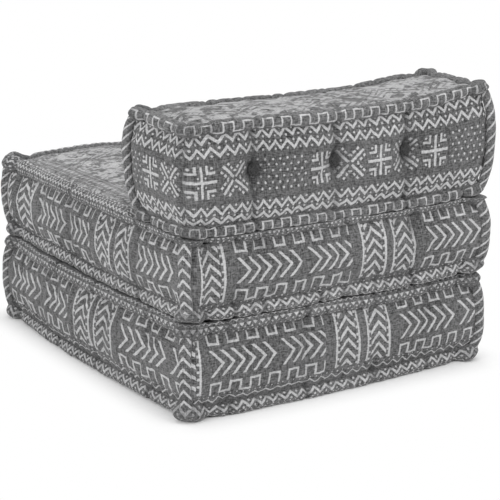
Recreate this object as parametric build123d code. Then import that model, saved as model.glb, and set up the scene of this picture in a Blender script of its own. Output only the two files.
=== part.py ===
from build123d import *
import math
import os
from dataclasses import dataclass

# A floor sofa module of three loose box cushions: a lower seat, an upper seat stacked on it and a
# back cushion that stands on the seat along its rear edge. Millimetres, +Z up, the sitter faces -Y.
# The origin is on the floor at the middle of the seat.

# Seat cushions
seat_width = 600
seat_depth = 700
seat_roll_diameter = 28
seat_bow = 10
seat_bulge = 12
seat_crown = 13
lower_height = 166
upper_height = 154

# Back cushion
back_thickness = 181
back_height = 192
back_roll_diameter = 25
back_bow = 8
back_bulge = 10
back_crown = 9

# The crown's ridge along the cushion rises a little more than its arch across
ridge_share = 1.15

# How the cushions bear on each other and on the floor
rest_gap = 0.3
roll_press = 2
back_roll_press = 4.5
back_sink = 14
back_ramp = 24

# Cover: cloth, rolled edges and the pinched corners
cloth = 1.6
roll_lap_angle = 25
seam_tuck = 0.8
corner_roll_diameter = 22
corner_roll_sink = 5
corner_roll_folds = 10
post_end_share = 0.35
ear_radius = 13
ear_folds = 8
ear_bevel = 6
ear_reach = 7
ear_lift = 6
pressed_ear_lift = 2

# Tufting of the back cushion
button_count = 3
button_pitch = 151
button_shift = 26
button_lift = 9
button_diameter = 22
button_thickness = 6
button_rim = 2.5
button_folds = 16
tuft_depth = 9
tuft_radius = 38
tuft_wall_depth = 6
tuft_wall_radius = 20
tuft_folds = 10
twine_diameter = 2.4
twine_strands = 6
needle_gap = 0.2

# Cutting shapes: how far they run past what they cut, and how far the corner mitres reach
overrun = 20
mitre_reach = 45
sector_share = 0.3


@dataclass
class Cushion:
    """The sizes and places that one box cushion is made from."""

    name: str
    width: float
    depth: float
    centre_y: float
    base: float
    height: float
    bow: float
    bulge: float
    crown: float
    roll: float
    low_press: float
    high_press: float

    @property
    def top(self):
        """Height of the rolled top edge."""
        return self.base + self.height

    @property
    def low_roll_z(self):
        """Height of the bottom roll's centre line."""
        return self.base + self.roll - self.low_press

    @property
    def high_roll_z(self):
        """Height of the top roll's centre line."""
        return self.top - self.roll + self.high_press

    @property
    def seam_inset(self):
        """How far inside the rolls' outer line the boxing is sewn on."""
        return self.roll * (1 - math.sin(math.radians(roll_lap_angle))) + seam_tuck

    @property
    def seam_drop(self):
        """Height from a roll's centre line to the seam of the boxing."""
        return self.roll * math.cos(math.radians(roll_lap_angle))

    @property
    def low_seam(self):
        """Height where the boxing leaves the bottom roll."""
        return self.low_roll_z + self.seam_drop

    @property
    def high_seam(self):
        """Height where the boxing meets the top roll."""
        return self.high_roll_z - self.seam_drop

    @property
    def middle(self):
        """Height of the boxing's middle, where it swells most."""
        return (self.low_seam + self.high_seam) / 2

    @property
    def bow_slope(self):
        """Slope of the sides in plan, from a corner out to the bowed middle."""
        return self.bow / (max(self.width, self.depth) / 2)

    @property
    def panel_z(self):
        """Height at which a crowned top panel comes out of its roll."""
        return self.high_roll_z + self.roll * math.sin(math.radians(roll_lap_angle)) - seam_tuck


lower = Cushion(
    name="lower",
    width=seat_width,
    depth=seat_depth,
    centre_y=0,
    base=0,
    height=lower_height,
    bow=seat_bow,
    bulge=seat_bulge,
    crown=0,
    roll=seat_roll_diameter / 2,
    low_press=roll_press,
    high_press=roll_press,
)
upper = Cushion(
    name="upper",
    width=seat_width,
    depth=seat_depth,
    centre_y=0,
    base=lower.top + rest_gap,
    height=upper_height,
    bow=seat_bow,
    bulge=seat_bulge,
    crown=seat_crown,
    roll=seat_roll_diameter / 2,
    low_press=roll_press,
    high_press=0,
)
back = Cushion(
    name="back",
    width=seat_width,
    depth=back_thickness,
    centre_y=(seat_depth - back_thickness) / 2,
    base=upper.top - back_sink + rest_gap,
    height=back_height,
    bow=back_bow,
    bulge=back_bulge,
    crown=back_crown,
    roll=back_roll_diameter / 2,
    low_press=back_roll_press,
    high_press=0,
)


def plan_points(c, inset):
    """The cushion's plan: four corners, with each side bowed out at its middle by the same slope."""
    a, b = c.width / 2 - inset, c.depth / 2 - inset
    side, end = a + c.bow_slope * b, b + c.bow_slope * a
    plan = [(a, -b), (side, 0), (a, b), (0, end), (-a, b), (-side, 0), (-a, -b), (0, -end)]
    return [(x, c.centre_y + y) for x, y in plan]


def outline(c, inset, z):
    """A level face with the cushion's plan."""
    return Pos(0, 0, z) * Polygon(*plan_points(c, inset), align=None)


def carried_round(c, inset, z, profile):
    """A profile, with x outwards and y up, carried round the plan with mitred corners."""
    line, inner, outer = (plan_points(c, inset + step) for step in (0, mitre_reach, -mitre_reach))
    runs = []
    for i in range(len(line)):
        j = (i + 1) % len(line)
        start, finish = Vector(*line[i], z), Vector(*line[j], z)
        along = (finish - start).normalized()
        end = Plane(origin=finish + along * mitre_reach, x_dir=along.cross(Vector(0, 0, 1)), z_dir=-along)
        run = extrude(end * profile, (finish - start).length + 2 * mitre_reach)
        wedge = Polygon(inner[i], outer[i], outer[j], inner[j], align=None)
        runs.append(run & extrude(Pos(0, 0, z) * wedge, c.height, both=True))
    return runs[0] + runs[1:]


def folded(radius, end_radius, height, folds):
    """A many-sided block that stands on its base and tapers or widens to its other end."""
    if end_radius > radius:
        return Pos(0, 0, height) * Rot(180, 0, 0) * folded(end_radius, radius, height, folds)
    apothem_share = math.cos(math.pi / folds)
    taper = math.degrees(math.atan((radius - end_radius) * apothem_share / height))
    return extrude(RegularPolygon(radius, folds), height, taper=taper)


def slab(low, high):
    """Everything between two heights."""
    reach = seat_width + seat_depth
    return Pos(0, 0, (low + high) / 2) * Box(reach, reach, high - low)


def sides(c, inset, low, high):
    """The cushion's body from low to high, swelling between its seams."""
    sewn = c.seam_inset + inset
    half = (c.high_seam - c.low_seam) / 2
    swell = make_face(
        [
            ThreePointArc((0, -half), (c.bulge, 0), (0, half)),
            Polyline((0, half), (-overrun, half), (-overrun, -half), (0, -half)),
        ]
    )
    return extrude(outline(c, sewn, low), high - low) + carried_round(c, sewn, c.middle, swell)


def press(drop):
    """The space that the back cushion takes in the upper seat, with its sloping front."""
    bed = back.base - rest_gap - drop
    rise = upper.top + upper.crown + overrun
    front = back.centre_y - back.depth / 2 - back.bow - rest_gap
    ramp_top = front - back_ramp * (rise - bed) / back_sink
    rear = seat_depth / 2 + seat_bow + overrun
    profile = Plane.YZ * Polygon((ramp_top, rise), (front, bed), (rear, bed), (rear, rise), align=None)
    return extrude(profile, seat_width / 2 + seat_bow + overrun, both=True)


def vault(reach, run, low, edge_z, rise):
    """A block with an arched top: the arch spans 2 reach along x and is carried along y."""
    arch = make_face(
        [
            Polyline((-reach, edge_z), (-reach, low), (reach, low), (reach, edge_z)),
            ThreePointArc((reach, edge_z), (0, edge_z + rise), (-reach, edge_z)),
        ]
    )
    return extrude(Plane.XZ * arch, run, both=True)


def crowned_space(c, drop):
    """The space below the cushion's crowned top, lowered by drop: an arch each way across it."""
    reach, run = c.width / 2 + c.bow, c.depth / 2 + c.bow
    edge_z = c.panel_z - drop
    across = vault(reach, run, c.middle, edge_z, c.crown)
    along = Rot(0, 0, 90) * vault(run, reach, c.middle, edge_z, c.crown * ridge_share)
    space = Pos(0, c.centre_y, 0) * (across & along)
    return space - press(drop) if c is upper else space


def roll_profile(c, up):
    """The section of a stuffed roll: round outside and cut flat where it is sewn to the cushion."""

    def on_roll(degrees):
        angle = math.radians(degrees)
        return c.roll * math.cos(angle), up * c.roll * math.sin(angle)

    first, last = 180 - roll_lap_angle, roll_lap_angle - 90
    half_way = (first + last) / 2
    return make_face(
        [
            ThreePointArc(on_roll(first), on_roll((first + half_way) / 2), on_roll(half_way)),
            ThreePointArc(on_roll(half_way), on_roll((half_way + last) / 2), on_roll(last)),
            Line(on_roll(last), on_roll(first)),
        ]
    )


def corner_point(c, inset, reach, along_x, along_y):
    """The point of a corner at an inset from the plan, moved outwards along the diagonal."""
    out = reach * math.cos(math.radians(45)) - inset
    return along_x * (c.width / 2 + out), c.centre_y + along_y * (c.depth / 2 + out)


def ear(c, z, along_x, along_y, body):
    """The knob of folded cloth where a roll turns a corner."""
    root = Vector(*corner_point(c, c.seam_inset, 0, along_x, along_y), z)
    tip = Vector(*corner_point(c, 0, ear_reach, along_x, along_y), z)
    straight = (tip - root).length - ear_bevel
    knob = folded(ear_radius, ear_radius, straight, ear_folds)
    knob += Pos(0, 0, straight) * folded(ear_radius, ear_radius - ear_bevel, ear_bevel, ear_folds)
    return Plane(origin=root, x_dir=(0, 0, 1), z_dir=tip - root) * knob - body


def roll(c, up, body):
    """A whole roll round the cushion, with the ear that each corner pinches out."""
    z = c.high_roll_z if up > 0 else c.low_roll_z
    ring = carried_round(c, c.roll, z, roll_profile(c, up))
    lift = pressed_ear_lift if c is lower and up > 0 else ear_lift
    for along_x in (1, -1):
        for along_y in (1, -1):
            ring += ear(c, z + lift, along_x, along_y, body)
    if up < 0 or c is lower:
        ring &= slab(c.base, c.top)
    return ring - press(0) if c is upper and up > 0 else ring


def corner_roll(c, along_x, along_y):
    """The stuffed seam that stands up a corner, following the swell of the boxing."""
    radius = corner_roll_diameter / 2
    low_end = c.low_roll_z + c.roll * post_end_share
    high_end = c.high_roll_z - c.roll * post_end_share
    swollen = c.seam_inset - c.bulge
    pulled_in = swollen + c.bulge * (c.middle - low_end) / (c.middle - c.low_seam)
    stations = [(pulled_in, low_end), (swollen, c.middle), (pulled_in, high_end)]
    points = [
        Vector(*corner_point(c, inset, radius - corner_roll_sink, along_x, along_y), z)
        for inset, z in stations
    ]
    path = Wire([Line(points[0], points[1]), Line(points[1], points[2])])
    section = Plane(origin=points[0], z_dir=points[1] - points[0]) * RegularPolygon(radius, corner_roll_folds)
    return sweep(section, path=path, transition=Transition.RIGHT)


def corner_rolls(c, corners, rolls):
    """The corner seams of one cushion, each ending in the top and bottom rolls."""
    return [corner_roll(c, along_x, along_y) - rolls[0] - rolls[1] for along_x, along_y in corners]


def sector(c, corners):
    """The part of the plan between the mitre lines of the first and last of the given corners."""
    inset = min(c.width, c.depth) * sector_share
    points = [corner_point(c, 0, seat_width, *corner) for corner in corners]
    points += [corner_point(c, inset, 0, *corners[-1]), corner_point(c, inset, 0, *corners[0])]
    return extrude(Pos(0, 0, c.base) * Polygon(*points, align=None), c.height)


def boxing(c, body, core, rolls, posts):
    """The upright strip of the cover, all round, before it is parted at its corners."""
    strip = (body & slab(c.low_seam - c.roll / 2, c.high_seam + c.roll / 2)) - core
    return strip - (rolls + posts)


def button_places(c):
    """Places across the back cushion, evenly spaced, with how far the bow stands out there."""
    half = c.width / 2 - c.seam_inset
    for i in range(button_count):
        x = button_shift + (i - (button_count - 1) / 2) * button_pitch
        yield x, c.bow_slope * (half - abs(x))


def button_z(c):
    """Height of the row of buttons."""
    return c.middle + button_lift


def pit_depth_y(c, bow_out):
    """Distance from the cushion's middle plane to the bottom of a tuft."""
    return c.depth / 2 - c.seam_inset + c.bulge + bow_out - tuft_depth


def facing(c, x, y_out, side):
    """A plane on the cushion's front or rear face, looking outwards."""
    return Plane(origin=(x, c.centre_y + side * y_out, button_z(c)), x_dir=(side, 0, 0), z_dir=(0, side, 0))


def tuft(c, x, bow_out, side, drop):
    """The hollow that a button pulls into one face, sunk by drop more."""
    seat = (button_diameter / 2 + needle_gap) / math.cos(math.radians(180 / tuft_folds))
    hollow = folded(seat, tuft_wall_radius, tuft_wall_depth, tuft_folds)
    lip = folded(tuft_wall_radius, tuft_radius, tuft_depth - tuft_wall_depth, tuft_folds)
    hollow += Pos(0, 0, tuft_wall_depth) * lip
    hollow += Pos(0, 0, tuft_depth) * folded(tuft_radius, tuft_radius, overrun, tuft_folds)
    return facing(c, x, pit_depth_y(c, bow_out) - drop, side) * hollow


def button(c, x, bow_out, side):
    """A covered button: flat behind, with its cloth drawn over a rounded front."""
    radius, bevel = button_diameter / 2, button_thickness - button_rim
    disc = folded(radius, radius, button_rim, button_folds)
    disc += Pos(0, 0, button_rim) * folded(radius, radius - bevel, bevel, button_folds)
    return facing(c, x, pit_depth_y(c, bow_out), side) * disc


def stitch(c, x, bow_out, diameter):
    """The line of a tufting twine from button to button."""
    section = RegularPolygon(diameter / 2, twine_strands)
    section = Plane(origin=(x, c.centre_y, button_z(c)), z_dir=(0, 1, 0)) * section
    return extrude(section, pit_depth_y(c, bow_out), both=True)


def cover_and_core(c):
    """The rolls, the space inside the cover, the filling before its rolls are cut away, and two panels."""
    body = sides(c, 0, c.base, c.top)
    rolls = [roll(c, 1, body), roll(c, -1, body)]
    core = sides(c, cloth, c.base + cloth, c.top + c.crown)
    bottom = extrude(outline(c, c.seam_inset, c.base), cloth) - rolls[1]
    if c.crown:
        under = crowned_space(c, cloth)
        top = extrude(outline(c, c.seam_inset, c.high_seam), c.top + c.crown - c.high_seam)
        top = (top & crowned_space(c, 0)) - under
        core &= under + slab(c.base, c.middle)
    else:
        top = extrude(outline(c, c.seam_inset, c.top - cloth), cloth)
        core &= slab(c.base, c.top - cloth)
    return rolls, body, core, top - rolls[0], bottom


def seat_parts(c):
    """Every piece of a seat cushion, by node name."""
    rolls, body, core, top, bottom = cover_and_core(c)
    posts = corner_rolls(c, [(1, 1), (-1, 1), (-1, -1), (1, -1)], rolls)
    strip = boxing(c, body, core, rolls, posts)
    return {
        f"{c.name}_filling": core - (rolls + posts),
        f"{c.name}_top_panel": top,
        f"{c.name}_bottom_panel": bottom,
        f"{c.name}_left_boxing": strip & sector(c, [(1, -1), (1, 1)]),
        f"{c.name}_rear_boxing": strip & sector(c, [(1, 1), (-1, 1)]),
        f"{c.name}_right_boxing": strip & sector(c, [(-1, 1), (-1, -1)]),
        f"{c.name}_front_boxing": strip & sector(c, [(-1, -1), (1, -1)]),
        f"{c.name}_top_roll": rolls[0],
        f"{c.name}_bottom_roll": rolls[1],
        f"{c.name}_corner_rolls": Compound(children=posts),
    }


def back_parts(c):
    """Every piece of the back cushion, with its tufting, by node name."""
    rolls, body, core, top, bottom = cover_and_core(c)
    posts = corner_rolls(c, [(1, -1), (-1, 1)], rolls)
    buttons, stitches = {1: [], -1: []}, []
    for x, bow_out in button_places(c):
        for side in (1, -1):
            body -= tuft(c, x, bow_out, side, 0)
            core -= tuft(c, x, bow_out, side, cloth)
            buttons[side].append(button(c, x, bow_out, side))
        stitches.append(stitch(c, x, bow_out, twine_diameter))
    strip = boxing(c, body, core, rolls, posts)
    for x, bow_out in button_places(c):
        hole = stitch(c, x, bow_out, twine_diameter + 2 * needle_gap)
        strip -= hole
        core -= hole
    return {
        "back_filling": core - (rolls + posts),
        "back_top_panel": top,
        "back_bottom_panel": bottom,
        "back_rear_boxing": strip & sector(c, [(1, -1), (1, 1), (-1, 1)]),
        "back_front_boxing": strip & sector(c, [(-1, 1), (-1, -1), (1, -1)]),
        "back_top_roll": rolls[0],
        "back_bottom_roll": rolls[1],
        "back_corner_rolls": Compound(children=posts),
        "back_rear_buttons": Compound(children=buttons[1]),
        "back_front_buttons": Compound(children=buttons[-1]),
        "back_tufting_twines": Compound(children=stitches),
    }


def main():
    os.makedirs("parts", exist_ok=True)
    made = seat_parts(lower) | seat_parts(upper) | back_parts(back)
    for name, shape in made.items():
        export_step(shape, f"parts/{name}.step")


main()
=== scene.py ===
import logging
import math
from dataclasses import dataclass
from enum import Enum

import bpy
import numpy as np
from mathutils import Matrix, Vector


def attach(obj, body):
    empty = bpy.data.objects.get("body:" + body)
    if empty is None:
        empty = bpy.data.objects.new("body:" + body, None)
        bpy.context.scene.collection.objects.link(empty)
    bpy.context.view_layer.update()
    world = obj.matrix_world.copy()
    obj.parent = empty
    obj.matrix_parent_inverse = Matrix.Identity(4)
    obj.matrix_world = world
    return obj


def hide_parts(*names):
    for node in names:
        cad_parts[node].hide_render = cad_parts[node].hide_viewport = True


# A module of a floor sofa: two stacked seat cushions and a back cushion, in grey handwoven cloth.
# Lengths on the cushions are millimetres until a mesh is made. The sitter faces -Y.
# A run is a distance along a cushion's cloth, counted from the corner nearest the camera.

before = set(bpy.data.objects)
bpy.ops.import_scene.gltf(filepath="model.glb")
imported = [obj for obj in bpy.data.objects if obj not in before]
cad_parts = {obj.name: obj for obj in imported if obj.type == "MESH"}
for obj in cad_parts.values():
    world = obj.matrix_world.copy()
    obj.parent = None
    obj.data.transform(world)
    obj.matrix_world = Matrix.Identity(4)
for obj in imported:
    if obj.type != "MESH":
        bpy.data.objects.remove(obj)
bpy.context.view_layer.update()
log = logging.getLogger("sofa")

Places = tuple[np.ndarray, np.ndarray, np.ndarray]

MM = 0.001
PUFF_FRAMES = 18
RIPPLE_WAVES = 11
CORNER_POINTS = 11
PANEL_STEP = 6
# Pressed cloth starts to flatten this far from what it lies on.
SOFT_CONTACT = 1.5
# The back cushion presses the upper seat down behind this line, and the seat slopes up before it.
BED_FRONT = 158.0
BED_SLOPE = 0.7
# The cloth of the corner seam nearest the camera lies this far along, so that it has its own pattern.
NEAR_CORNER = 1000.0


class Contact(Enum):
    """Heights that soft pieces are flattened to where they lie on something, in millimetres."""

    FLOOR = 0.1
    LOWER_TOP = 166.0
    UPPER_BASE = 166.4
    BED = 306.2
    BACK_BASE = 306.7


class Face(Enum):
    """The face of a cushion that a piece belongs to."""

    TOP = 1
    BOTTOM = -1

    @property
    def word(self) -> str:
        """The word for the face in the names of pieces."""
        return self.name.lower()


# Unevenness


class Ripple:
    """Smooth unevenness that is the same each time: sine waves in fixed directions."""

    def __init__(self, seed: int, length: float) -> None:
        """Chooses the waves.

        Args:
            seed: Which unevenness to make.
            length: The middle wavelength, in millimetres.
        """
        draw = np.random.default_rng(seed)
        angle = draw.uniform(0, 2 * math.pi, RIPPLE_WAVES)
        number = 2 * math.pi / (length * draw.uniform(0.6, 1.8, RIPPLE_WAVES))
        self.kx, self.ky = number * np.cos(angle), number * np.sin(angle)
        self.phase = draw.uniform(0, 2 * math.pi, RIPPLE_WAVES)

    def __call__(self, x: np.ndarray, y: np.ndarray) -> np.ndarray:
        """Returns the unevenness, from about -1 to 1, at places on the cloth.

        Args:
            x: First coordinate of each place, in millimetres.
            y: Second coordinate of each place, in millimetres.

        Returns:
            One number for each place.
        """
        x, y = np.broadcast_arrays(np.asarray(x, float), np.asarray(y, float))
        waves = np.sin(x[..., None] * self.kx + y[..., None] * self.ky + self.phase)
        return waves.sum(axis=-1) / math.sqrt(2 * len(self.kx))


def bell(distance: np.ndarray, width: float) -> np.ndarray:
    """Returns 1 where distance is 0, falling to about a third at the width and to 0 past it."""
    return np.exp(-((distance / width) ** 2))


def ease(value: np.ndarray, low: float, high: float) -> np.ndarray:
    """Returns 0 below low and 1 above high, with a smooth climb between."""
    share = np.clip((value - low) / (high - low), 0, 1)
    return share * share * (3 - 2 * share)


def fullness(rows: np.ndarray) -> np.ndarray:
    """Returns how far stuffed cloth stands out between two seams, which are at rows 0 and 1."""
    return 1 - np.abs(2 * rows - 1) ** 2.6


def rest_on(z: np.ndarray, level: np.ndarray | float) -> np.ndarray:
    """Returns heights kept above a level, which they close on softly.

    Args:
        z: The heights.
        level: What they lie on.

    Returns:
        The flattened heights.
    """
    start = level + SOFT_CONTACT
    closing = level + SOFT_CONTACT * np.exp((np.minimum(z, start) - level - SOFT_CONTACT) / SOFT_CONTACT)
    return np.where(z < start, closing, z)


def rolls_meet(x: np.ndarray, y: np.ndarray) -> np.ndarray:
    """Returns how much higher than the panels two stacked rolls meet, which isn't quite level."""
    edge = np.maximum(ease(np.abs(x), 255.0, 285.0), ease(np.abs(y), 305.0, 335.0))
    return 2.4 * edge * Ripple(900, 95.0)(x, y)


def under_back(y: np.ndarray, z: np.ndarray, lift: np.ndarray | float = 0.0) -> np.ndarray:
    """Returns heights on the upper seat, lowered to where the back cushion presses it, plus lift."""
    ramp = Contact.BED.value + lift + np.maximum(BED_FRONT - y, 0) * BED_SLOPE
    return np.minimum(z, ramp)


# Meshes


def grid(*parts: np.ndarray) -> np.ndarray:
    """Returns coordinates put together into one grid of points."""
    return np.stack(np.broadcast_arrays(*parts), axis=-1)


def lay_mesh(
    name: str, points: np.ndarray, cloth: np.ndarray, around: bool = False, folds: np.ndarray | None = None
) -> bpy.types.Object:
    """Makes a smooth mesh of a grid of points.

    Args:
        name: The piece's name.
        points: Places in millimetres, as rows by columns by 3.
        cloth: Where each point lies on the flat cloth, in millimetres; with around it has one more row.
        around: Whether the last row joins the first.
        folds: How deep in a crease each point lies, from 0 to 1, which the materials paint as shade, or
            nothing for none.

    Returns:
        The new object.
    """
    rows, columns = points.shape[:2]
    last = rows if around else rows - 1
    r, c = np.meshgrid(np.arange(last), np.arange(columns - 1), indexing="ij")
    corners = [(r, c), (r, c + 1), (r + 1, c + 1), (r + 1, c)]
    index = np.stack([(a % rows) * columns + b for a, b in corners], axis=-1).reshape(-1, 4)
    flat = np.stack([cloth[a % cloth.shape[0], b] for a, b in corners], axis=2).reshape(-1, 2)
    mesh = bpy.data.meshes.new(name)
    mesh.from_pydata((points.reshape(-1, 3) * MM).tolist(), [], index.tolist())
    layer = mesh.uv_layers.new(name="cloth")
    layer.data.foreach_set("uv", (flat * MM).astype(np.float32).ravel())
    # Painted shade: each point's crease depth is stored for the materials, which darken the cloth by it.
    depth = mesh.attributes.new("fold", "FLOAT", "POINT")
    if folds is not None:
        depth.data.foreach_set("value", np.broadcast_to(folds, (rows, columns)).astype(np.float32).ravel())
    mesh.shade_smooth()
    mesh.update()
    piece = bpy.data.objects.new(name, mesh)
    bpy.context.collection.objects.link(piece)
    return piece


def join_pieces(name: str, pieces: list[bpy.types.Object]) -> bpy.types.Object:
    """Joins several objects into one.

    Args:
        name: The name of the joined piece.
        pieces: What to join.

    Returns:
        The joined object.
    """
    with bpy.context.temp_override(active_object=pieces[0], selected_editable_objects=pieces):
        bpy.ops.object.join()
    pieces[0].name = name
    pieces[0].data.name = name
    return pieces[0]


def read_points(mesh: bpy.types.Mesh) -> np.ndarray:
    """Reads where a mesh's points are.

    Args:
        mesh: The mesh.

    Returns:
        The points in metres, a row for each.
    """
    points = np.empty(len(mesh.vertices) * 3)
    mesh.vertices.foreach_get("co", points)
    return points.reshape(-1, 3)


def write_points(mesh: bpy.types.Mesh, points: np.ndarray) -> None:
    """Moves a mesh's points to new places, in metres."""
    mesh.vertices.foreach_set("co", points.ravel())
    mesh.update()


def puff(piece: bpy.types.Object, held: np.ndarray, slack: float = 0.05, cap: float = 7.0) -> None:
    """Blows cloth up from inside, as its stuffing does, so that it puckers where it is sewn.

    Args:
        piece: The cloth.
        held: Which of its points are sewn, and stay in place.
        slack: How much wider the cloth is than the place it is sewn into.
        cap: The furthest that a point may move, in millimetres.
    """
    group = piece.vertex_groups.new(name="held")
    group.add(np.flatnonzero(held).tolist(), 1.0, "REPLACE")
    modifier = piece.modifiers.new("puff", "CLOTH")
    modifier.point_cache.frame_start, modifier.point_cache.frame_end = 1, PUFF_FRAMES
    settings = modifier.settings
    settings.quality, settings.mass = 5, 0.25
    settings.tension_stiffness = settings.compression_stiffness = 12
    settings.shear_stiffness, settings.bending_stiffness = 6, 0.2
    settings.use_pressure, settings.uniform_pressure_force = True, 4
    settings.vertex_group_mass, settings.shrink_min = "held", -slack
    settings.effector_weights.gravity = 0
    for frame_number in range(1, PUFF_FRAMES + 1):
        bpy.context.scene.frame_set(frame_number)
    graph = bpy.context.evaluated_depsgraph_get()
    settled = bpy.data.meshes.new_from_object(piece.evaluated_get(graph))
    start, end = read_points(piece.data), read_points(settled)
    bpy.data.meshes.remove(settled)
    piece.modifiers.clear()
    piece.vertex_groups.clear()
    move = (end - start) / MM
    size = np.linalg.norm(move, axis=1, keepdims=True)
    move = move * cap * np.tanh(size / cap) / np.maximum(size, 0.001)
    write_points(piece.data, start + move * MM)
    bpy.context.scene.frame_set(1)


# Sizes


@dataclass(frozen=True)
class Loop:
    """A closed line round a cushion: its points, outward direction, run and distance from a corner."""

    x: np.ndarray
    y: np.ndarray
    out_x: np.ndarray
    out_y: np.ndarray
    run: np.ndarray
    corner: np.ndarray


@dataclass(frozen=True)
class Plan:
    """The plan of a cushion: its half sizes to the outside of the rolls, and how far its sides bow."""

    half_x: float
    half_y: float
    centre_y: float
    bow: float

    @property
    def slope(self) -> float:
        """How far a side bows for each millimetre of its half length."""
        return self.bow / max(self.half_x, self.half_y)

    def loop(self, inset: float, corner_radius: float, step: float) -> Loop:
        """Returns the plan's line at an inset, from the hidden rear corner round and back to it.

        Args:
            inset: How far inside the plan the line runs.
            corner_radius: Radius of its rounded corners.
            step: Distance between points along the sides.

        Returns:
            The line, with run counted from the corner nearest the camera.
        """
        a, b = self.half_x - inset, self.half_y - inset
        sides = [(0, -1, b, a), (1, 0, a, b), (0, 1, b, a), (-1, 0, a, b)]
        xs, ys, corner = [], [], []
        for nx, ny, reach, half in sides:
            straight = half - corner_radius
            count = max(int(round(2 * straight / step)), 4)
            t = np.linspace(-straight, straight, count)
            out = reach + self.slope * half * (1 - (t / half) ** 2)
            xs.append(nx * out - ny * t)
            ys.append(ny * out + nx * t)
            corner.append(np.full(count, False))
            lift = self.slope * half * (1 - (straight / half) ** 2)
            turn = np.linspace(0, math.pi / 2, CORNER_POINTS)[1:-1]
            mid_x = nx * (reach + lift - corner_radius) - ny * straight
            mid_y = ny * (reach + lift - corner_radius) + nx * straight
            xs.append(mid_x + corner_radius * (nx * np.cos(turn) - ny * np.sin(turn)))
            ys.append(mid_y + corner_radius * (ny * np.cos(turn) + nx * np.sin(turn)))
            middle = np.full(turn.size, False)
            middle[turn.size // 2] = True
            corner.append(middle)
        x, y, mark = np.concatenate(xs), np.concatenate(ys), np.concatenate(corner)
        x, y, mark = np.append(x, x[0]), np.append(y, y[0]), np.append(mark, False)
        run = np.concatenate([[0], np.cumsum(np.hypot(np.diff(x), np.diff(y)))])
        along_x = np.roll(x[:-1], -1) - np.roll(x[:-1], 1)
        along_y = np.roll(y[:-1], -1) - np.roll(y[:-1], 1)
        size = np.hypot(along_x, along_y)
        out_x, out_y = np.append(along_y / size, 0), np.append(-along_x / size, 0)
        out_x[-1], out_y[-1] = out_x[0], out_y[0]
        gap = np.abs(run[:, None] - run[mark][None, :])
        distance = np.minimum(gap, run[-1] - gap).min(axis=1)
        return Loop(x, y + self.centre_y, out_x, out_y, run - run[mark][1], distance)


def run_at(plan: Plan, inset: float, x: float, y: float) -> float:
    """Returns the run of the point on a plan's line, at an inset, that is nearest to a place."""
    loop = plan.loop(inset, 7.0, 4.0)
    return float(loop.run[np.hypot(loop.x - x, loop.y - y).argmin()])


@dataclass(frozen=True)
class Pull:
    """A place where cloth is pulled in: its run, its height on the cloth, how deep, wide and tall."""

    run: float
    height: float
    depth: float
    width: float
    tall: float


@dataclass(frozen=True)
class Sag:
    """A place that the stuffing has moved: where it is, how far round it moves, and by how much.

    The whole height of the cushion moves where whole is set, and otherwise the top more than the bottom.
    """

    x: float
    y: float
    reach: float
    move: tuple[float, float, float]
    whole: bool = False


@dataclass(frozen=True)
class CushionSize:
    """What one cushion is made from, in millimetres.

    Heights are above the floor. Pulls are stitches and valleys are upright creases in the boxing, and
    pinches are the runs where the rolls are drawn in. The knobs at the corners of the rolls stand out
    by knob_out and swell by knob_swell, at the bottom and the top, as shares of the roll's radius.
    """

    name: str
    body: str
    seed: int
    plan: Plan
    base: float
    low_roll: float
    high_roll: float
    radius: float
    bulge: float
    crown: float
    low_contact: float
    high_contact: float | None
    pulls: tuple[Pull, ...]
    valleys: tuple[Pull, ...]
    pinches: tuple[float, ...]
    sags: tuple[Sag, ...]
    knob_out: float = 12.5
    knob_swell: tuple[float, float] = (0.27, 0.27)
    near_lean: float = 9.0
    seam_radius: float = 10.5
    seam_out: float = 8.5
    cloth_pull: float = 0.0
    carries_back: bool = False

    def settle(self, x: np.ndarray, y: np.ndarray, z: np.ndarray) -> Places:
        """Moves places on the cushion as its stuffing has moved.

        Args:
            x: Places from left to right.
            y: Places from front to back.
            z: Heights.

        Returns:
            The moved places.
        """
        x, y, z = np.broadcast_arrays(x, y, z)
        start_x, start_y = x, y
        height = ease(z, self.base + 20.0, self.high_roll)
        for sag in self.sags:
            near = bell(np.hypot(start_x - sag.x, start_y - sag.y), sag.reach)
            share = (1.0 if sag.whole else height) * near
            x, y, z = (place + share * step for place, step in zip((x, y, z), sag.move))
        return x, y, z


# Materials


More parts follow.
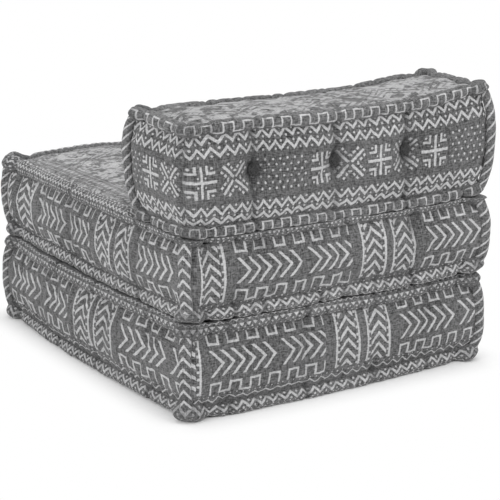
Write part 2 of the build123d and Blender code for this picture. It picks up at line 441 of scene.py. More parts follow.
@dataclass(frozen=True)
class Number:
    """A number that varies over a material, worked out by Math nodes."""

    tree: bpy.types.NodeTree
    source: bpy.types.NodeSocket

    def step(self, operation: str, *others: "Number | float", clamp: bool = False) -> "Number":
        """Returns the result of one Math node.

        Args:
            operation: The node's operation.
            others: What else goes into it.
            clamp: Whether the result is kept from 0 to 1.

        Returns:
            The result.
        """
        inputs = dict(enumerate((self, *others)))
        node = add_node(self.tree, "Math", inputs, operation=operation, use_clamp=clamp)
        return Number(self.tree, node.outputs[0])

    def __add__(self, other: "Number | float") -> "Number":
        """Returns the sum."""
        return self.step("ADD", other)

    def __sub__(self, other: "Number | float") -> "Number":
        """Returns the difference."""
        return self.step("SUBTRACT", other)

    def __mul__(self, other: "Number | float") -> "Number":
        """Returns the product."""
        return self.step("MULTIPLY", other)

    def __truediv__(self, other: "Number | float") -> "Number":
        """Returns the quotient."""
        return self.step("DIVIDE", other)

    def __or__(self, other: "Number | float") -> "Number":
        """Returns the larger, which puts two marks on the same cloth."""
        return self.step("MAXIMUM", other)

    def size(self) -> "Number":
        """Returns the number without its sign."""
        return self.step("ABSOLUTE")

    def clamped(self) -> "Number":
        """Returns the number kept from 0 to 1."""
        return self.step("ADD", 0.0, clamp=True)

    def inverse(self) -> "Number":
        """Returns 1 less the number, which marks where a mark isn't."""
        return self * -1 + 1

    def blend(self, other: "Number", share: "Number") -> "Number":
        """Returns this number where share is 0 and the other where it is 1."""
        return self * share.inverse() + other * share

    def cell(self, pitch: float, offset: float = 0.0) -> "Number":
        """Returns the distance from the middle of its cell, a pitch wide and set over by offset."""
        shifted = self.step("SUBTRACT", offset - pitch / 2)
        return shifted.step("FLOORED_MODULO", pitch) - pitch / 2

    def within(self, half: float, fray: float = 0.9) -> "Number":
        """Returns 1 where the number is within half of 0, and 0 past an edge that takes fray to fade."""
        return self.size().step("MULTIPLY_ADD", -1 / fray, half / fray + 0.5, clamp=True)


def add_node(
    tree: bpy.types.NodeTree, kind: str, inputs: dict[str | int, object] | None = None, **settings: object
) -> bpy.types.Node:
    """Adds a shader node and joins it up.

    Args:
        tree: The material or world that it goes into.
        kind: The node's type, without the words that all types start with.
        inputs: What goes into it, by name or place: a value, or what another node gives.
        settings: The node's own settings.

    Returns:
        The node.
    """
    node = tree.nodes.new(f"ShaderNode{kind}")
    for name, value in settings.items():
        setattr(node, name, value)
    for name, value in (inputs or {}).items():
        if isinstance(value, Number):
            value = value.source
        if isinstance(value, bpy.types.NodeSocket):
            tree.links.new(value, node.inputs[name])
        else:
            node.inputs[name].default_value = value
    return node


def dot(x: Number, y: Number, radius: float) -> Number:
    """Returns a round dot, where x and y are distances from its middle."""
    return (x * x + y * y).step("SQRT").within(radius)


def sown(u: Number, v: Number, pitch: float, row: float, radius: float) -> Number:
    """Returns a field of dots a pitch apart in rows, each row set half a pitch over."""
    shift = (v / (2 * row)).step("FRACT").step("GREATER_THAN", 0.5) * (pitch / 2)
    return dot((u + shift).cell(pitch), v.cell(row, row / 2), radius)


def heads(v: Number, inner: Number, half: float, reach: float) -> Number:
    """Returns a stack of arrowheads of a half thickness that reach so far each side of its middle."""
    return (v + inner * 1.05).cell(18.6, 4).within(half) * inner.within(reach)


def zigzag(
    u: Number, v: Number, height: float, swing: float, pitch: float, half: float, dots: float = 0.0
) -> Number:
    """Returns a zigzag row, with a dot in each of its valleys.

    Args:
        u: Distance along the cloth.
        v: Height on the cloth.
        height: The row's middle.
        swing: How far it swings up and down.
        pitch: Length of one zigzag.
        half: Half the width of its line.
        dots: Radius of the dots, or 0 for none.

    Returns:
        The mark.
    """
    wave = u.cell(pitch).size() * (4 * swing / pitch) - swing
    mark = (v - height - wave).within(half * 1.35)
    if dots:
        above = dot(u.cell(pitch), v - (height + swing * 0.95), dots)
        below = dot(u.cell(pitch, pitch / 2), v - (height - swing * 0.95), dots)
        mark = mark | above | below
    return mark


def meander(u: Number, v: Number, low: float, high: float, cell: float, half: float) -> Number:
    """Returns a square-cut wave.

    Args:
        u: Distance along the cloth.
        v: Height on the cloth.
        low: Height of its low runs.
        high: Height of its high runs.
        cell: Length of a run.
        half: Half the width of its line.

    Returns:
        The mark.
    """
    risers = u.cell(cell).within(half) * (v - (low + high) / 2).within((high - low) / 2 + half)
    upper_runs = (v - high).within(half) * u.cell(2 * cell, cell / 2).within(cell / 2)
    lower_runs = (v - low).within(half) * u.cell(2 * cell, -cell / 2).within(cell / 2)
    return risers | upper_runs | lower_runs


def arrows(u: Number, v: Number, first: float, count: int, pitch: float, middle: float) -> Number:
    """Returns a row of arrowheads that point along the cloth.

    Args:
        u: Distance along the cloth.
        v: Height on the cloth.
        first: Where the first point lies.
        count: How many there are.
        pitch: Distance between them.
        middle: Height of their points.

    Returns:
        The mark.
    """
    rise = (v - middle).size()
    along = u + rise * 0.95
    row = along.cell(pitch, first).within(3.0)
    ends = (along - (first + pitch * (count - 1) / 2)).within(pitch * (count - 0.5) / 2)
    return row * ends * rise.within(21.5)


def cross(x: Number, y: Number) -> Number:
    """Returns an upright cross with a corner mark and dots in each quarter.

    Args:
        x: Distance from its middle along the cloth.
        y: Distance from its middle up the cloth.

    Returns:
        The mark.
    """
    a, b = x.size(), y.size()
    arms = a.within(2.4) * b.within(26) | b.within(2.4) * a.within(26)
    marks = (a - 11).within(2.1) * (b - 20).within(7) | (b - 14.5).within(2.1) * (a - 16.5).within(7)
    return arms | marks | dot(a - 18.5, b - 22, 2.1) | dot(a - 7.5, b - 7.5, 1.8)


def saltire(x: Number, y: Number) -> Number:
    """Returns a slanting cross with short strokes beside its arms.

    Args:
        x: Distance from its middle along the cloth.
        y: Distance from its middle up the cloth.

    Returns:
        The mark.
    """
    diagonal = 0.7071
    a, b = ((x + y) * diagonal).size(), ((x - y) * diagonal).size()
    strokes = []
    for across, along in ((a, b), (b, a)):
        arm = across.within(2.2) * (along - 18).within(14.5)
        ticks = (across - 8.5).within(1.9) * (along - 18).cell(8.5).within(2.6) * (along - 19).within(10)
        strokes.append(arm | ticks)
    return strokes[0] | strokes[1]


class Weave:
    """Heathered handwoven cloth: the ground that every pattern is woven into."""

    thread_contrast = 1.9
    patch_contrast = 0.3
    rib_pitch = 2.6
    rib_rise = 0.77
    rib_contrast = 0.16
    # Width of the band that the marks wander in, in millimetres.
    wander = 2.2
    # Darkest and palest thread, as shares of the cloth's grey.
    ground_range = (0.54, 1.42)
    mark_range = (0.88, 1.10)
    # Painted shade in creases: how much it dims the pattern, how much it darkens the cloth, and its colour.
    fold_hides = 0.75
    fold_darkens = 0.5
    fold_colour = (0.03, 0.03, 0.031, 1.0)

    def __init__(self, name: str, ground: float, light: float, wear: float = 0.25) -> None:
        """Starts the material.

        Args:
            name: The material's name.
            ground: Grey of the ground, as it looks on screen, from 0 to 1.
            light: Grey of the pattern, likewise.
            wear: How much the pattern is worn, from 0 to 1.
        """
        self.material = bpy.data.materials.new(name)
        self.material.use_nodes = True
        self.tree = self.material.node_tree
        self.tree.nodes.clear()
        self.ground, self.light, self.wear = ground, light, wear
        self.place = add_node(self.tree, "UVMap", uv_map="cloth").outputs["UV"]
        parts = add_node(self.tree, "SeparateXYZ", {0: self.place})
        shift_u = (self.noise(330.0, 330.0, 0.0) - 0.5) * self.wander
        shift_v = (self.noise(300.0, 360.0, 7.3) - 0.5) * self.wander
        self.u = Number(self.tree, parts.outputs[0]) * (1 / MM) + shift_u
        self.v = Number(self.tree, parts.outputs[1]) * (1 / MM) + shift_v

    def noise(self, along: float, up: float, seed: float, detail: float = 2.0) -> Number:
        """Returns smooth noise over the cloth.

        Args:
            along: Waves per metre along the cloth.
            up: Waves per metre up it.
            seed: Which noise.
            detail: How much finer noise is added.

        Returns:
            Noise from 0 to 1.
        """
        offset = (seed, seed * 0.7, seed * 1.3)
        inputs = {"Scale": (along, up, 0.0), "Location": offset, "Vector": self.place}
        mapping = add_node(self.tree, "Mapping", inputs)
        inputs = {"Scale": 1.0, "Detail": detail, "Vector": mapping.outputs["Vector"]}
        return Number(self.tree, add_node(self.tree, "TexNoise", inputs).outputs["Fac"])

    def pattern(self) -> Number | None:
        """Returns the woven mark, which plain cloth doesn't have."""
        return None

    def finish(self) -> bpy.types.Material:
        """Joins the ground, the pattern, the shade painted in the creases and the relief of the threads.

        Returns:
            The finished material.
        """
        tree = self.tree
        thread = self.noise(120.0, 430.0, 3.1, 3.0) * 0.55 + self.noise(430.0, 150.0, 5.9, 3.0) * 0.45
        patch = self.noise(9.0, 9.0, 11.0, 3.0)
        ribs = (self.u.cell(self.rib_pitch).size() * self.rib_rise - 0.5) * self.rib_contrast
        tone = (thread - 0.5) * self.thread_contrast + (patch - 0.5) * self.patch_contrast + ribs + 0.5
        colour = self.shade(tone, self.ground, self.ground_range)
        raised = thread * 0.6
        # Painted shade: the fold attribute darkens the cloth at stitches, creases and corner knobs, and
        # dims the pattern there.
        fold = Number(tree, add_node(tree, "Attribute", attribute_name="fold").outputs["Fac"])
        mark = self.pattern()
        if mark is not None:
            worn = (self.noise(420.0, 420.0, 21.0) - 0.5) * (2.0 * self.wear) + 0.93
            mark = mark * (fold * -self.fold_hides + 1) * worn.clamped()
            colour = self.mix(colour, self.shade(tone, self.light, self.mark_range), mark)
            raised = raised + mark * 0.5
        relief = {"Strength": 0.8, "Distance": 0.0011, "Height": raised}
        surface = {
            "Base Color": self.mix(colour, self.fold_colour, fold * self.fold_darkens),
            "Roughness": 0.92,
            "Specular IOR Level": 0.18,
            "Sheen Weight": 0.12,
            "Sheen Roughness": 0.6,
            "Normal": add_node(tree, "Bump", relief).outputs["Normal"],
        }
        add_node(tree, "OutputMaterial", {"Surface": add_node(tree, "BsdfPrincipled", surface).outputs[0]})
        return self.material

    def mix(self, under: object, over: object, share: Number) -> bpy.types.NodeSocket:
        """Returns one colour laid over another by a share."""
        inputs = {"Factor": share, "A": under, "B": over}
        return add_node(self.tree, "Mix", inputs, data_type="RGBA").outputs["Result"]

    def shade(self, tone: Number, grey: float, reach: tuple[float, float]) -> bpy.types.NodeSocket:
        """Returns a grey that gets paler as tone does.

        Args:
            tone: From 0 to 1.
            grey: The middle grey, as it looks on screen.
            reach: The darkest and the palest grey, as shares of it.

        Returns:
            The colour.
        """
        ramp = add_node(self.tree, "ValToRGB", {"Fac": tone})
        for place, share, stop in zip(ramp.color_ramp.elements, reach, (0.25, 0.75)):
            linear = min(grey * share, 1.0) ** 2.2
            place.color = (linear, linear, linear * 1.01, 1.0)
            place.position = stop
        return ramp.outputs["Color"]


@dataclass(frozen=True)
class SeatStrips:
    """Where the pattern of a seat's boxing lies along its strips, and how far it is let down."""

    rear_start: float
    side_pair: float
    side_stretch: float = 1.0
    lone_panel: float | None = None
    drop: float = 0.0


class SeatBoxingWeave(Weave):
    """The seats' sides: panels of arrowheads between bars, a row of arrowheads, and meanders."""

    repeat = 380.0
    pair = 115.0

    def __init__(self, name: str, strips: SeatStrips) -> None:
        """Starts the material.

        Args:
            name: The material's name.
            strips: Where the pattern lies on this cushion.
        """
        super().__init__(name, 0.335, 0.74)
        self.strips = strips

    def pattern(self) -> Number:
        """Lays the pattern along the strips.

        Returns:
            The woven mark.
        """
        strips, v = self.strips, self.v + self.strips.drop
        side = (self.u - strips.side_pair) / strips.side_stretch + self.pair / 2
        along = (self.u - strips.rear_start).blend(side, self.u.step("LESS_THAN", 0.0))
        if strips.lone_panel:
            lone = (self.u - (strips.lone_panel - 12)).size().step("LESS_THAN", 48.0)
            along = along.blend((self.u - strips.lone_panel) / 1.45 + 25, lone)
        along = along.step("FLOORED_MODULO", self.repeat)
        seam = zigzag(self.u, v, 35, 3.6, 22, 1.0) | dot(self.u.cell(11), v - 43, 1.3)
        return self.field(along - self.pair, v) | self.panels(along, v) | seam

    def field(self, u: Number, v: Number) -> Number:
        """Returns the field: arrowheads in two groups, between meanders with a blank in each.

        Args:
            u: Distance from the start of the field.
            v: Height on the cloth.

        Returns:
            The mark.
        """
        cell, start = 18.4, 23
        rows = arrows(u, v, 45, 6, 19.7, 99) | arrows(u, v, 180, 5, 18.8, 99)
        blanks = ((u - (start + 6.5 * cell)).size() - cell).within(cell / 2 - 2.2)
        borders = meander(u - start, v, 48, 66, cell, 1.9)
        borders = borders | meander(u - start - cell, v, 130, 146, cell, 1.8)
        return (rows | borders * blanks.inverse()) * (u - 132.5).within(112, 1.0)

    def panels(self, u: Number, v: Number) -> Number:
        """Returns the pair of upright panels.

        Args:
            u: Distance from the start of the pair.
            v: Height on the cloth.

        Returns:
            The mark.
        """
        inner = (u.step("FLOORED_MODULO", 65.0) - 25).size()
        edges = (inner - 23.5).within(2.1) | dot(inner - 19.6, v.cell(12.4, 3), 2.2)
        filled = edges * (v - 101).within(52) | heads(v, inner, 3.3, 16.5) * (v - 96).within(46)
        return filled * (u - self.pair / 2).within(self.pair / 2 + 1, 1.0)


class BackBoxingWeave(Weave):
    """The back's sides: crosses and dotted fields between double rows of zigzags."""

    cell = 58.25
    dotted_fields = (-10.5, -3.5, 2.5, 9.5)
    zigzag_rows = ((30.5, 5.0), (48.0, 6.5), (143.5, 6.5), (164.0, 6.0))

    def pattern(self) -> Number:
        """Lays the crosses, the dotted fields and the rows of zigzags.

        Returns:
            The woven mark.
        """
        u, y, cell = self.u - 15, self.v - 97, self.cell
        motifs = cross(u.cell(2 * cell), y) | saltire(u.cell(2 * cell, cell), y)
        dots = sown(u, y, 13.6, 9.6, 2.0) * y.within(30)
        for middle in self.dotted_fields:
            inside = (u - middle * cell).within(cell - 3)
            motifs = motifs * inside.inverse() | dots * inside
        for height, swing in self.zigzag_rows:
            motifs = motifs | zigzag(self.u, self.v, height, swing, 24, 2.3, 2.0)
        return motifs


class RollPattern(Enum):
    """The border that a roll is covered in."""

    ZIGZAG = "zigzag"
    TRIANGLES = "triangles"
    LOOPS = "loops"
    DOTS = "dots"
    TICKS = "ticks"


class RollWeave(Weave):
    """The cloth of a rolled edge, with a border along it."""

    def __init__(self, name: str, border: RollPattern) -> None:
        """Starts the material.

        Args:
            name: The material's name.
            border: Which border it has.
        """
        super().__init__(name, 0.35, 0.74, 0.35)
        self.border = border

    def pattern(self) -> Number:
        """Lays the border along the roll.

        Returns:
            The woven mark.
        """
        u, v = self.u, self.v
        if self.border is RollPattern.ZIGZAG:
            rows = zigzag(u, v, 5, 5.6, 23.5, 2.1, 2.1) | zigzag(u, v, -11, 3, 13, 1.1)
            return rows | dot(u.cell(11), v + 4.5, 1.4)
        if self.border is RollPattern.TRIANGLES:
            peaks = (u.cell(13).size() + (v - 5) * -0.75 - 1).within(3.8) * (v - 1).within(4)
            dots = dot(u.cell(13, 6.5), v + 2.5, 1.7) | dot(u.cell(9), v + 9, 1.4)
            return peaks | dots | zigzag(u, v, 13, 2.5, 12, 1.0)
        if self.border is RollPattern.LOOPS:
            return meander(u, v, -7, 9, 17.5, 1.5)
        if self.border is RollPattern.DOTS:
            dots = dot(u.cell(8.6), v + 1, 2.0) | dot(u.cell(9, 3), v - 15, 1.8)
            lines = zigzag(u, v, 8, 2.8, 12, 1.3) | zigzag(u, v, 22, 3, 14, 1.3)
            return dots | dot(u.cell(10), v + 7, 1.5) | lines
        near = u.step("GREATER_THAN", NEAR_CORNER / 2)
        inner = (u - (NEAR_CORNER + 8)).size()
        ticks = (v + u * 0.75).cell(18.5).within(2.1)
        return heads(v, inner, 2.8, 15) * near | ticks * near.inverse()


class FadedPatchwork(Weave):
    """The tops: pale cloth whose diamond print has worn to streaks and patches."""

    tile = (132, 104)

    def __init__(
        self, name: str, ground: float, light: float, border: tuple[float, float] | None = None
    ) -> None:
        """Starts the material.

        Args:
            name: The material's name.
            ground: Grey of the print, as it looks on screen.
            light: Grey of the cloth, likewise.
            border: Half sizes of the rows of zigzags near the edge, or nothing where there are none.
        """
        super().__init__(name, ground, light, 0.4)
        self.border = border

    def pattern(self) -> Number:
        """Wears the print away in blots, clouds and specks.

        Returns:
            The pale of the worn cloth.
        """
        blot = self.noise(72.0, 72.0, 2.0, 1.5)
        cloud, speck = self.noise(26.0, 30.0, 4.0), self.noise(250.0, 250.0, 6.0)
        pale = ((blot - 0.5) * 5.6 + (cloud - 0.5) * 3.2 + (speck - 0.5) * 2.2 + 0.76).clamped()
        across, up = self.u.cell(self.tile[0]).size(), self.v.cell(self.tile[1]).size()
        ring = across * 0.8 + up * 1.1
        lines = (ring - 44).within(4.0) | (ring - 30).within(2.2) | (ring - 8).within(6.0)
        hooks = (self.u.cell(15).size() - self.v.cell(15).size()).within(2.0) * (ring - 60).within(9)
        steps = ((across - 60).size() + (up - 46).size() - 10).within(3.0)
        left = ((self.noise(13.0, 13.0, 9.0, 3.0) - 0.38) * 6.0).clamped()
        printed = (lines | steps | hooks) * left * (speck * 1.8)
        pale = (pale - printed * 0.8).step("MAXIMUM", 0.0)
        if self.border:
            edge = (self.u.size() - self.border[0]) | (self.v.size() - self.border[1])
            along = self.u + self.v
            dots = dot(along.cell(10), edge + 12, 2.0) | dot(along.cell(10), edge - 11, 2.2)
            rows = zigzag(along, edge, 0, 3.6, 15, 1.7) | dots
            cleared = pale * (edge.within(17, 4.0) * -0.75 + 1)
            pale = cleared | rows * (blot * 2.4 - 0.3).step("MINIMUM", 1.0)
        return pale


class ButtonCloth(Weave):
    """Plain cloth drawn over a button."""


class Lining(Weave):
    """Plain strong cloth under each cushion."""


# Pieces


@dataclass(frozen=True)
class Roll:
    """A stuffed rolled edge round a cushion, with a knob of folded cloth at each corner.

    Beside each knob the roll is drawn in to a neck. Depths and swellings are shares of its radius.
    """

    size: CushionSize
    face: Face
    knob_width: float = 14.5
    neck_place: float = 26.0
    neck_width: float = 8.0
    neck_depth: float = 0.26
    lump: float = 0.075
    pucker: float = 0.032
    gather: float = 0.05
    stitch_depth: tuple[float, float] = (0.4, 2.9)
    stitch_width: tuple[float, float] = (2.6, 3.8)
    stitch_pitch: tuple[float, float] = (13.0, 34.0)

    @property
    def centre(self) -> float:
        """Height of the roll's centre line."""
        return self.size.high_roll if self.face is Face.TOP else self.size.low_roll

    @property
    def knob_swell(self) -> float:
        """How much fatter the corner knobs are than the roll."""
        return self.size.knob_swell[1 if self.face is Face.TOP else 0]

    @property
    def knob_lift(self) -> float:
        """How far the corner knobs stand up, which is less where they are pressed."""
        return 4.0 if self.face is Face.BOTTOM or self.size.high_contact is None else 1.0

    def build(self) -> bpy.types.Object:
        """Makes the roll's mesh.

        Returns:
            The roll.
        """
        size = self.size
        loop = size.plan.loop(size.radius, 10.0, 3.5)
        turn = np.linspace(-math.pi, math.pi, 29)
        angle, run = turn[:-1, None], loop.run[None, :]
        knob = bell(loop.corner, self.knob_width)[None, :]
        radius = self.thickness(loop, angle)
        waver = Ripple(size.seed + 11 * self.face.value, 180.0)
        rise = self.knob_lift * knob + 1.6 * waver(run, 0)
        shift = size.knob_out * bell(loop.corner, 13.5) - 3.0 * bell(loop.corner - 28.0, 11.0)
        out = radius * np.cos(angle) + shift
        lean = size.near_lean * bell(loop.run, 17.0)
        x = loop.x + loop.out_x * out + 0.3 * lean
        y = loop.y + loop.out_y * out - lean
        z = self.centre + rise + radius * np.sin(angle)
        points = grid(*self.press(*size.settle(x, y, z)))
        edge = size.radius + shift
        edge_x, edge_y = loop.x + loop.out_x * edge, loop.y + loop.out_y * edge
        along = np.concatenate([[0], np.cumsum(np.hypot(np.diff(edge_x), np.diff(edge_y)))])
        along = along - along[np.abs(loop.run).argmin()]
        cloth = grid(along[None, :], turn[:, None] * size.radius)
        # Painted shade: how much the material darkens the cloth at the stitches and in the corner knobs.
        folds = np.clip(self.stitched(run) / 4.0, 0, 1) * 0.8 + 0.5 * bell(loop.corner, 13.0)[None, :]
        return lay_mesh(f"{size.name}_{self.face.word}_rolled_edge", points, cloth, True, folds)

    def thickness(self, loop: Loop, angle: np.ndarray) -> np.ndarray:
        """Returns the roll's radius, with its lumps, knobs, necks, gathers, stitches and pinched corners.

        Args:
            loop: The line that the roll follows.
            angle: Places round the roll.

        Returns:
            The radius at each place.
        """
        size, run, up = self.size, loop.run[None, :], self.face.value
        knob = bell(loop.corner, self.knob_width)[None, :]
        neck = bell(loop.corner - self.neck_place, self.neck_width)[None, :]
        lumps = Ripple(size.seed + 3 * up, 70.0)(run, 9 * np.cos(angle))
        puckers = Ripple(size.seed + 5 * up, 15.0)(run, 0.4 * size.radius * angle)
        gathers = Ripple(size.seed + 7 * up, 7.0)(run, 0.3 * size.radius * angle)
        pleats = 0.06 * np.cos(5 * angle + loop.corner[None, :] * 0.16) - 0.10 * np.abs(np.sin(angle))
        swell = 1 + self.lump * lumps + self.pucker * puckers
        swell = swell + self.knob_swell * knob - self.neck_depth * neck
        swell = swell + (knob + neck) * self.gather * gathers
        swell = swell + knob * pleats
        radius = size.radius * swell - self.stitched(run)
        return radius - 3.2 * bell(loop.corner, 3.6)[None, :] * (0.55 + 0.45 * np.sin(angle * up))

    def stitched(self, run: np.ndarray) -> np.ndarray:
        """Returns how far the stitches over the roll draw it in.

        Args:
            run: Places along the roll.

        Returns:
            The depth at each place.
        """
        draw = np.random.default_rng(self.size.seed + self.face.value)
        place, last = float(run.min()) + 12.0, float(run.max()) - 8.0
        depth = np.zeros_like(run)
        while place < last:
            deep, wide = draw.uniform(*self.stitch_depth), draw.uniform(*self.stitch_width)
            depth = depth + deep * bell(run - place, wide)
            place += draw.uniform(*self.stitch_pitch)
        for pinch in self.size.pinches:
            depth = depth + 4.2 * bell(run - pinch, 4.5)
        return depth

    def press(self, x: np.ndarray, y: np.ndarray, z: np.ndarray) -> Places:
        """Flattens the roll where it lies on something or something lies on it.

        Args:
            x: Places from left to right.
            y: Places from front to back.
            z: Heights.

        Returns:
            The places after pressing.
        """
        size, meet = self.size, rolls_meet(x, y)
        z = rest_on(z, size.low_contact + (meet if size.base > 0 else 0))
        if self.face is Face.TOP and size.high_contact is not None:
            z = -rest_on(-z, -(size.high_contact + meet))
        if self.face is Face.TOP and size.carries_back:
            z = under_back(y, z, meet)
        return x, y, z


@dataclass(frozen=True)
class Boxing:
    """The upright strip round a cushion, swelling between its seams, drawn in where it is stitched.

    It meets each roll lap_angle degrees above or below the roll's centre line, tucked in by lap_tuck.
    """

    size: CushionSize
    rows: int = 34
    lap_angle: float = 65
    lap_tuck: float = 4

    def build(self) -> bpy.types.Object:
        """Makes the strip's mesh, puffs it and lays its creases.

        Returns:
            The strip.
        """
        size = self.size
        lap = size.radius * math.sin(math.radians(self.lap_angle))
        low, high = size.low_roll + lap - self.lap_tuck, size.high_roll - lap + self.lap_tuck
        loop = size.plan.loop(size.radius * 0.58 + 0.8, 7.0, 4.0)
        rows = np.linspace(0, 1, self.rows)[:, None]
        height = low + (high - low) * rows
        swell = self.swell(loop, rows, height)
        x, y = loop.x + loop.out_x * swell, loop.y + loop.out_y * swell
        along = loop.run + 11.5 * np.clip(loop.run / 25.0, -1, 1)
        along = along - size.cloth_pull * bell(along - 78, 70.0)
        cloth = grid(along[None, :], height - size.base)
        held = np.zeros(x.shape, dtype=bool)
        held[:2] = held[-2:] = held[:, 0] = held[:, -1] = True
        # Painted shade: how much the material darkens the cloth round the stitches and along the creases.
        folds = np.zeros(x.shape)
        for pull in size.pulls:
            away = np.hypot(loop.run - pull.run, height - size.base - pull.height)
            held |= away < pull.width * 0.4
            folds = folds + bell(away, pull.width * 0.7) * min(pull.depth / 9.0, 1.0)
        creases = self.creases(loop, height)
        folds = np.clip(folds + creases / 9.0, 0, 1) * 0.8
        piece = lay_mesh(f"{size.name}_boxing_cover", grid(x, y, height), cloth, folds=folds)
        puff(piece, held.ravel())
        x, y, z = np.moveaxis(read_points(piece.data).reshape(*x.shape, 3) / MM, -1, 0)
        settled = size.settle(x - loop.out_x * creases, y - loop.out_y * creases, z)
        write_points(piece.data, grid(*settled) * MM)
        return piece

    def swell(self, loop: Loop, rows: np.ndarray, height: np.ndarray) -> np.ndarray:
        """Returns how far the strip stands out, with its puckers and stitches.

        Args:
            loop: The line that the strip follows.
            rows: Its rows, from 0 at the lower seam to 1 at the upper one.
            height: Heights of the rows.

        Returns:
            The distance at each place.
        """
        size, full = self.size, fullness(rows)
        corner = bell(loop.corner, 30.0)[None, :]
        edge = bell(1 - np.abs(2 * rows - 1), 0.42)
        puckers = Ripple(size.seed + 22, 26.0)(loop.run, 0.22 * height)
        swell = size.bulge * full
        swell = swell + 1.5 * full * Ripple(size.seed + 21, 190.0)(loop.run, height)
        swell = swell + (0.5 + 1.0 * edge) * puckers * (1 - 0.3 * corner)
        swell = swell + 0.5 * Ripple(size.seed + 23, 42.0)(loop.run, height)
        for pull in size.pulls:
            up = height - size.base - pull.height
            far = np.hypot((loop.run - pull.run) / pull.width, up / pull.tall)
            swell = swell - pull.depth * np.exp(-(far**1.3))
        return swell

    def creases(self, loop: Loop, height: np.ndarray) -> np.ndarray:
        """Returns how far the cloth folds in: along valleys, from the rolls' stitches, and round pulls.

        Args:
            loop: The line that the strip follows.
            height: Heights of its rows.

        Returns:
            The depth at each place.
        """
        size = self.size
        wander = 4.0 * Ripple(size.seed + 24, 90.0)(height, 0)
        depth = np.zeros((height.size, loop.run.size))
        for valley in size.valleys:
            near = np.abs(loop.run - valley.run - wander) / valley.width
            ends = bell(height - size.base - valley.height, valley.tall)
            depth = depth + valley.depth * np.exp(-(near**1.4)) * ends
        for face in Face:
            roll = Roll(size, face)
            seam = roll.centre - face.value * size.radius
            depth = depth + 0.9 * roll.stitched(loop.run) * np.exp(-np.abs(height - seam) / 11.0)
        for pull in size.pulls:
            along, up = (loop.run - pull.run) / pull.width, (height - size.base - pull.height) / pull.tall
            far = np.hypot(along, up)
            rays = np.cos(2.5 * np.arctan2(up, along) + pull.run) ** 6
            depth = depth + 0.3 * pull.depth * rays * far * np.exp(1 - 1.7 * far)
        return depth


@dataclass(frozen=True)
class Panel:
    """The top or bottom of a cushion's cover, between its rolls."""

    size: CushionSize
    face: Face

    def build(self) -> bpy.types.Object:
        """Makes the panel's mesh, and puffs it where nothing lies on it.

        Returns:
            The panel.
        """
        size, plan = self.size, self.size.plan
        inset = size.radius * 1.5
        a, b = plan.half_x - inset, plan.half_y - inset
        across, deep = int(2 * a / PANEL_STEP), int(2 * b / PANEL_STEP)
        s, t = np.meshgrid(np.linspace(-1, 1, across), np.linspace(-1, 1, deep))
        x = s * (a + plan.slope * b * (1 - t**2))
        y = plan.centre_y + t * (b + plan.slope * a * (1 - s**2))
        z = self.top(s, t, x, y) if self.face is Face.TOP else self.bottom(x, y)
        piece = lay_mesh(f"{size.name}_{self.face.word}_cover", grid(*size.settle(x, y, z)), grid(x, y))
        if self.face is Face.TOP and size.high_contact is None:
            rim = np.maximum(np.abs(s), np.abs(t)) > 0.985
            pressed = (y > 150) & size.carries_back
            puff(piece, (rim | pressed).ravel(), cap=5.0)
        return piece

    def top(self, s: np.ndarray, t: np.ndarray, x: np.ndarray, y: np.ndarray) -> np.ndarray:
        """Returns the heights of a top: crowned, or flat where another cushion lies on it.

        Args:
            s: Share of the way across.
            t: Share of the way from front to back.
            x: Places from left to right.
            y: Places from front to back.

        Returns:
            The heights.
        """
        size = self.size
        if size.high_contact is not None:
            dents = 1 + Ripple(size.seed + 31, 90.0)(x, y)
            return np.full_like(x, size.high_contact - 0.4) - 0.3 * dents / 2
        full = (1 - np.abs(s) ** 3.2) * (1 - np.abs(t) ** 3.2)
        rim = (1 - np.abs(s) ** 26) * (1 - np.abs(t) ** 26)
        near_edge = bell(np.minimum(1 - np.abs(s), 1 - np.abs(t)), 0.16)
        z = size.high_roll + size.radius * 0.25 + size.crown * full * 0.62 + size.crown * 0.42 * rim
        z = z + 1.7 * full * Ripple(size.seed + 32, 150.0)(x, y)
        z = z + 0.9 * rim * Ripple(size.seed + 33, 46.0)(x, y)
        z = z + 0.8 * near_edge * rim * Ripple(size.seed + 34, 20.0)(x, y)
        return under_back(y, z) if size.carries_back else z

    def bottom(self, x: np.ndarray, y: np.ndarray) -> np.ndarray:
        """Returns the heights of a bottom, which lies nearly flat."""
        return self.size.base + 0.6 + 0.3 * Ripple(self.size.seed + 35, 120.0)(x, y)


@dataclass(frozen=True)
class CornerRoll:
    """The stuffed seam that stands up one corner."""

    size: CushionSize
    along_x: int
    along_y: int
    sunk: float = 6.5

    def build(self) -> bpy.types.Object:
        """Makes the seam's mesh.

        Returns:
            The seam.
        """
        size, plan = self.size, self.size.plan
        rows = np.linspace(0, 1, 33)[None, :]
        low, high = size.low_roll + 3, size.high_roll - 3
        z = low + (high - low) * rows
        out = size.seam_out * fullness(rows) - self.sunk
        seed = size.seed + 41 + 5 * self.along_x + 9 * self.along_y
        turn = np.linspace(-math.pi, math.pi, 23)
        angle = turn[:-1, None]
        lumps = 0.07 * Ripple(seed, 45.0)(z, 6 * np.cos(angle))
        lumps = lumps + 0.04 * Ripple(seed + 1, 11.0)(z, 4 * angle)
        radius = size.seam_radius * (1 + lumps)
        lean = size.near_lean if (self.along_x, self.along_y) == (1, 1) else 0.0
        x = self.along_x * (plan.half_x + out + radius * np.cos(angle)) + 0.3 * lean
        y = self.along_y * (plan.half_y + out + radius * np.sin(angle)) + plan.centre_y - lean
        x = x + 1.2 * Ripple(seed + 2, 120.0)(z, 0)
        cloth = grid(turn[:, None] * 11.0 + (NEAR_CORNER if lean else 0.0), z)
        piece = lay_mesh(f"{size.name}_corner_roll", grid(*size.settle(x, y, z)), cloth, True)
        if self.along_x * self.along_y > 0:
            piece.data.flip_normals()
        return piece


